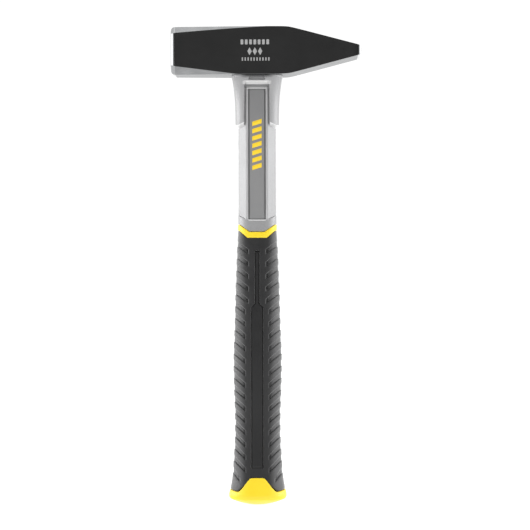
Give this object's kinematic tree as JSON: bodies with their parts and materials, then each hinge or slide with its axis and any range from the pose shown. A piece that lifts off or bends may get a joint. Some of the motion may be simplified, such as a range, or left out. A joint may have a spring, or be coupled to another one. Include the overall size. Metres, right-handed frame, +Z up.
{
  "type": "cross-pein hammer",
  "caption": "Engineer's hammer with a square striking face, a horizontal wedge pein, a fibreglass core and a moulded sleeve with a ribbed soft grip and a coloured butt cap.",
  "frame": {"origin": "the middle of the small flat under the butt, on the handle's axis", "axes": "+Z up along the handle to the head; -X towards the striking face and +X towards the pein; -Y and +Y through the two cheeks of the head"},
  "size_m": [0.13, 0.033, 0.326],
  "materials": {
    "lacquered_steel": "satin",
    "epoxy_resin": "gloss",
    "fibreglass": "satin",
    "silver_grey_polypropylene": "satin",
    "mid_grey_polypropylene": "satin",
    "yellow_polypropylene": "satin",
    "dark_polypropylene": "satin",
    "grip_elastomer": "matte",
    "spine_elastomer": "matte"
  },
  "bodies": {
    "root": {"head": "lacquered_steel", "eye_bond": "epoxy_resin", "core": "fibreglass", "shaft_sleeve": "silver_grey_polypropylene", "panel_front": "mid_grey_polypropylene", "panel_back": "mid_grey_polypropylene", "trim_ring": "yellow_polypropylene", "carrier": "dark_polypropylene", "grip": "grip_elastomer", "spine_front": "spine_elastomer", "spine_back": "spine_elastomer", "butt_cap": "yellow_polypropylene"}
  },
  "joints": []
}
